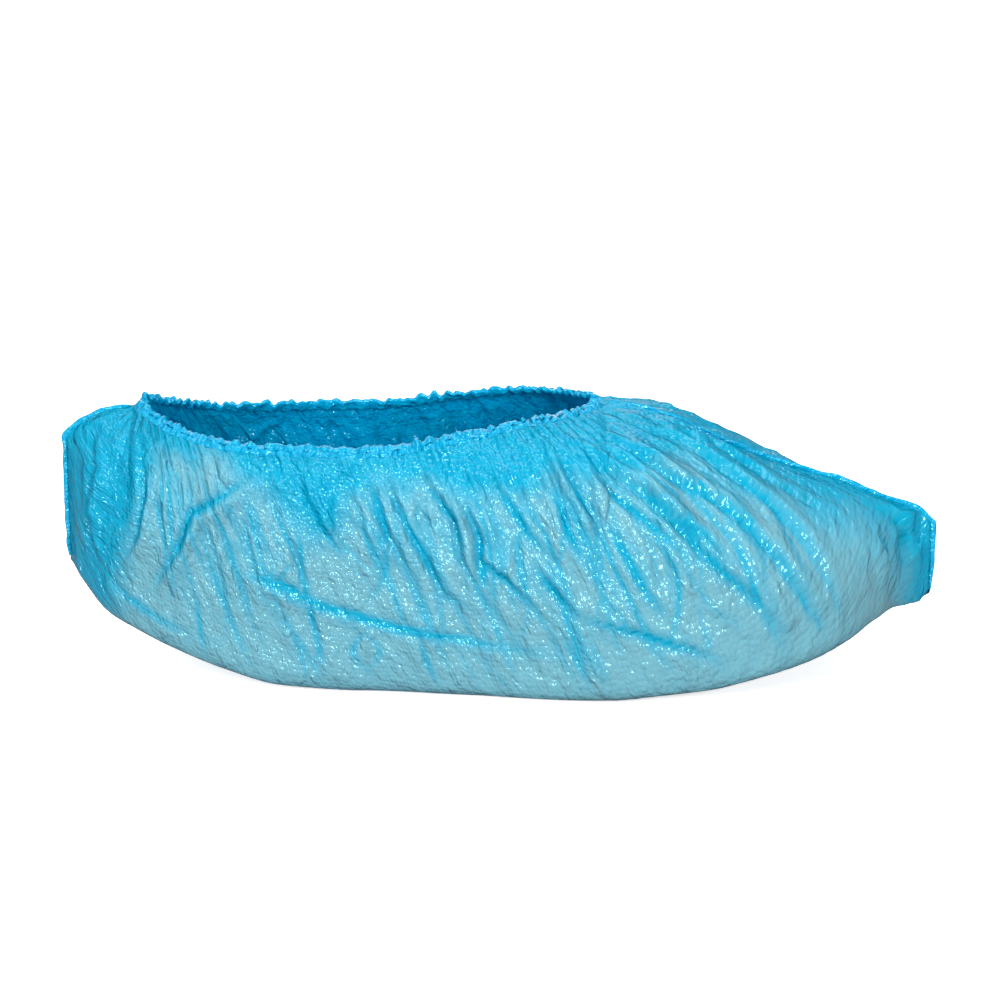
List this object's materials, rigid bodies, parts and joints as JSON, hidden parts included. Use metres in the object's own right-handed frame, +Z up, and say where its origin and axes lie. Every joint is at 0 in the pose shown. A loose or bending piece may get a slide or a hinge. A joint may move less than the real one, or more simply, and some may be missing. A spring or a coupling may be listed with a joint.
{
  "type": "shoe cover",
  "caption": "Single-use film overshoe in its worn form: a hollow blue bag with an elastic gathered ankle opening, end welds at heel and toe, and folds that fan down to a flat sole.",
  "frame": {"origin": "on the floor under the middle of the cover's length and width", "axes": "+X from heel to toe, +Y to the wearer's left, +Z up"},
  "size_m": [0.3046, 0.1112, 0.0952],
  "materials": {
    "film": "thin crinkled film, satin to glossy",
    "hem": "film gathered tightly over elastic",
    "weld": "heat-welded film edge"
  },
  "bodies": {
    "root": {"film_body": "film", "elastic_hem": "hem", "heel_weld": "weld", "toe_weld": "weld"}
  },
  "joints": []
}
